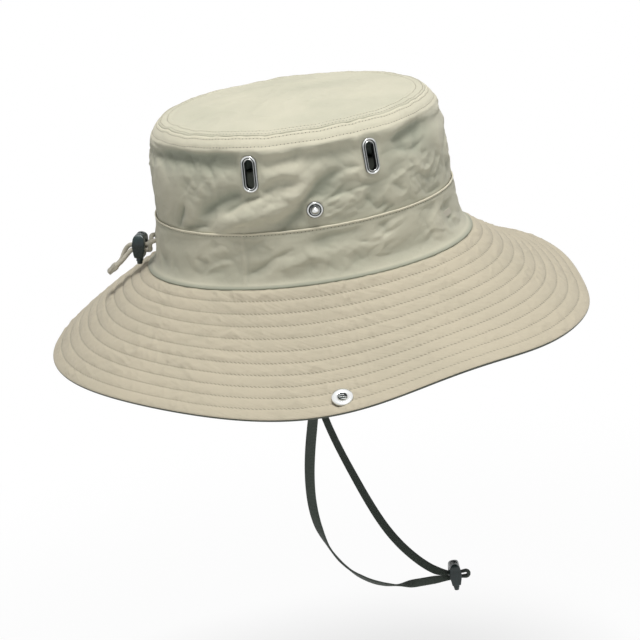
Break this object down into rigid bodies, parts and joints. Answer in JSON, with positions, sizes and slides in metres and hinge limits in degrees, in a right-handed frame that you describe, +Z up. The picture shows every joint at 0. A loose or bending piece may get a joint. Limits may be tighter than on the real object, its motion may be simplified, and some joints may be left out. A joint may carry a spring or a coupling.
{
  "type": "boonie hat",
  "caption": "Wide-brimmed cloth sun hat with quilted brim, snap-up sides, obround vent eyelets, rear drawcord and chin strap, each with a sprung cord lock.",
  "frame": {"origin": "centre of the head opening, in the plane of the crown-to-brim seam", "axes": "+Z up the crown; the front of the hat looks toward -Y; the wearer's right side is at -X"},
  "size_m": [0.3212, 0.3581, 0.3652],
  "materials": {
    "khaki_cloth": "matte woven",
    "lining_cloth": "matte woven",
    "interlining_felt": "felted",
    "underside_cloth": "matte woven",
    "strap_braid": "braided",
    "drawcord_braid": "braided",
    "polished_metal": "polished",
    "spring_wire": "drawn wire",
    "lock_plastic": "moulded"
  },
  "bodies": {
    "hat": {"brim_interlining": "interlining_felt", "brim_underside": "underside_cloth", "brim_upper": "khaki_cloth", "chin_strap": "strap_braid", "crown_band": "khaki_cloth", "crown_seam_tape": "lining_cloth", "crown_top_panel": "khaki_cloth", "drawcord_end": "drawcord_braid", "drawcord_left": "drawcord_braid", "drawcord_right": "drawcord_braid", "drawcord_ring": "drawcord_braid", "left_brim_fold": "khaki_cloth", "left_crown_side_panel": "khaki_cloth", "left_front_vent_eyelet": "polished_metal", "left_front_vent_washer": "polished_metal", "left_rear_vent_eyelet": "polished_metal", "left_rear_vent_washer": "polished_metal", "left_snap_post": "polished_metal", "left_snap_stud": "polished_metal", "left_strap_end": "strap_braid", "right_brim_fold": "khaki_cloth", "right_crown_side_panel": "khaki_cloth", "right_front_vent_eyelet": "polished_metal", "right_front_vent_washer": "polished_metal", "right_rear_vent_eyelet": "polished_metal", "right_rear_vent_washer": "polished_metal", "right_snap_post": "polished_metal", "right_snap_stud": "polished_metal", "right_strap_end": "strap_braid", "sweatband": "lining_cloth"},
    "left_flap": {"left_flap_upper": "khaki_cloth", "left_flap_interlining": "interlining_felt", "left_flap_underside": "underside_cloth", "left_snap_socket": "polished_metal", "left_snap_spring": "spring_wire", "left_snap_cap": "polished_metal"},
    "right_flap": {"right_flap_upper": "khaki_cloth", "right_flap_interlining": "interlining_felt", "right_flap_underside": "underside_cloth", "right_snap_socket": "polished_metal", "right_snap_spring": "spring_wire", "right_snap_cap": "polished_metal"},
    "chin_lock": {"chin_lock_body": "lock_plastic", "chin_lock_spring": "spring_wire"},
    "chin_plunger": {"chin_lock_plunger": "lock_plastic"},
    "rear_lock": {"rear_lock_body": "lock_plastic", "rear_lock_spring": "spring_wire"},
    "rear_plunger": {"rear_lock_plunger": "lock_plastic"}
  },
  "joints": [
    {"name": "left_brim_fold_up", "type": "hinge", "parent": "hat", "child": "left_flap", "pos_m": [0.09233, 0, -0.02076], "axis": [0, -1, 0], "range_deg": [0, 123.59], "deforming": ["left_brim_fold", "left_snap_spring"]},
    {"name": "right_brim_fold_up", "type": "hinge", "parent": "hat", "child": "right_flap", "pos_m": [-0.09233, 0, -0.02076], "axis": [0, 1, 0], "range_deg": [0, 123.59], "deforming": ["right_brim_fold", "right_snap_spring"]},
    {"name": "chin_lock_slide", "type": "slide", "parent": "hat", "child": "chin_lock", "axis": [0, 0.2626, 0.9649], "range_m": [0, 0.08], "deforming": ["chin_strap"]},
    {"name": "chin_lock_press", "type": "slide", "parent": "chin_lock", "child": "chin_plunger", "axis": [0, 0, 1], "range_m": [0, 0.0025], "stiffness_N_per_m": 900, "springref_m": -0.0015, "deforming": ["chin_lock_spring"]},
    {"name": "rear_lock_slide", "type": "slide", "parent": "hat", "child": "rear_lock", "axis": [0, 0.87, -0.493], "range_m": [0, 0.012], "deforming": ["drawcord_right", "drawcord_left"]},
    {"name": "rear_lock_press", "type": "slide", "parent": "rear_lock", "child": "rear_plunger", "axis": [0, -0.1668, 0.986], "range_m": [0, 0.0025], "stiffness_N_per_m": 900, "springref_m": -0.0015, "deforming": ["rear_lock_spring"]}
  ]
}
